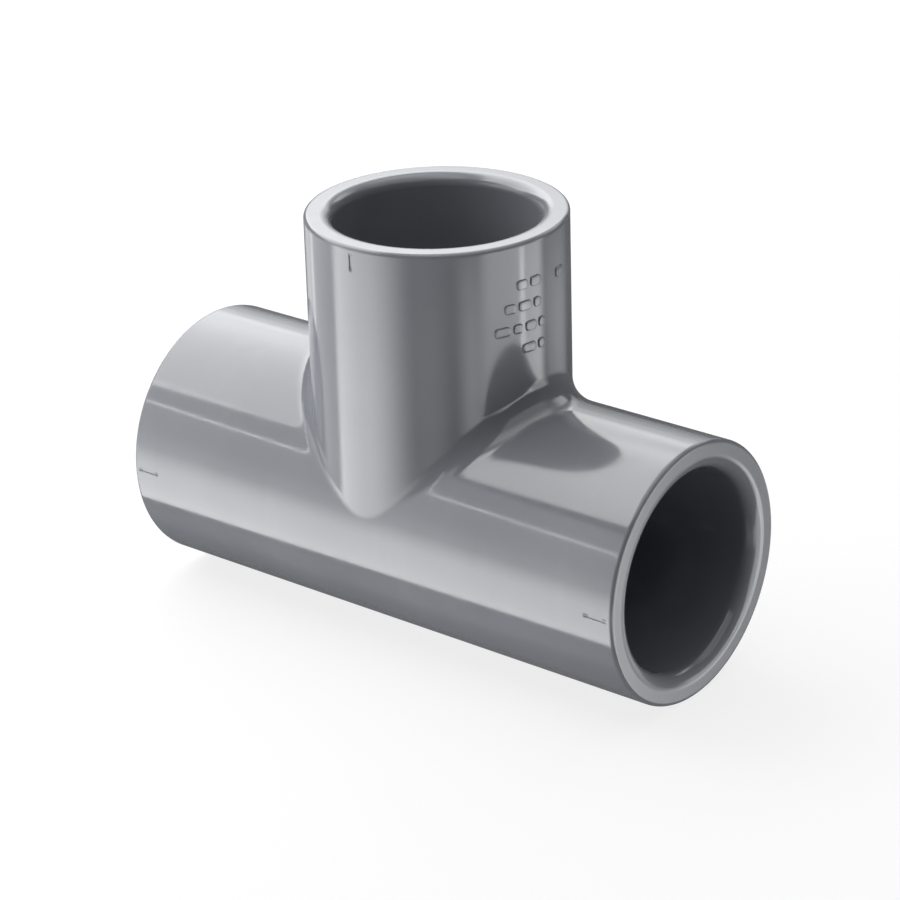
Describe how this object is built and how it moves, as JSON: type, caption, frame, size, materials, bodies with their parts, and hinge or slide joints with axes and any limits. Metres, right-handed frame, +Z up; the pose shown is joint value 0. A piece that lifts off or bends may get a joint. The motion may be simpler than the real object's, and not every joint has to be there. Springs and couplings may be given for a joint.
{
  "type": "pvc tee fitting",
  "caption": "Socket tee for rigid PVC pipe: a straight run with a socket at each end and an equal branch socket at right angles, in grey moulded plastic.",
  "frame": {"origin": "on the lowest line of the run, straight under the axis of the branch", "axes": "+X along the run towards its right socket, +Z up along the branch, +Y across both"},
  "size_m": [0.0804, 0.0346, 0.0575],
  "materials": {
    "grey_pvc": "satin gloss, moulded"
  },
  "bodies": {
    "root": {"centre_body": "grey_pvc", "run_socket_right": "grey_pvc", "run_socket_left": "grey_pvc", "branch_socket": "grey_pvc"}
  },
  "joints": []
}
